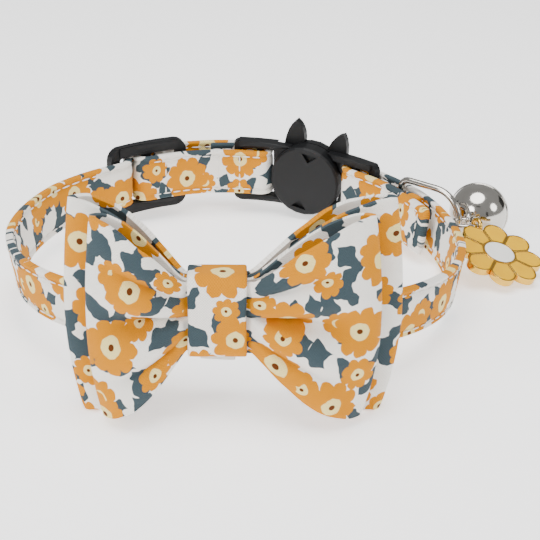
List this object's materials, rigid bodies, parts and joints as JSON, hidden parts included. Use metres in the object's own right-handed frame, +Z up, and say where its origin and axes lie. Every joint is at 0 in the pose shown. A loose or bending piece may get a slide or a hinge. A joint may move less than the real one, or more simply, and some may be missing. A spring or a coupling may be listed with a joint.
{
  "type": "pet bow tie collar",
  "caption": "Adjustable cat collar of flower-printed cotton with a double bow tie, slider, breakaway buckle, D-ring, bell and enamelled daisy charm.",
  "frame": {"origin": "middle of the collar's bounding box, at its base, on the table that it lies on", "axes": "+Z up out of the table, the bow in front at -Y, +X to the right as seen facing the bow, on the bell's side"},
  "size_m": [0.1072, 0.1112, 0.0378],
  "materials": {
    "printed_cotton": "woven cotton, off-white with mustard flowers and slate leaves",
    "black_plastic": "moulded, matte",
    "elastic": "woven elastic",
    "nickel": "nickel plate, bright",
    "gilt": "bright gilt rims; the cups hold yellow and white enamel"
  },
  "bodies": {
    "root": {"strap_long": "printed_cotton", "strap_short": "printed_cotton", "slider": "black_plastic", "buckle_left": "black_plastic", "buckle_right": "black_plastic", "bow_front": "printed_cotton", "bow_back": "printed_cotton", "bow_knot": "printed_cotton", "elastic_loop": "elastic", "d_ring": "nickel", "jump_ring": "nickel", "bell": "nickel", "charm": "gilt"}
  },
  "joints": []
}
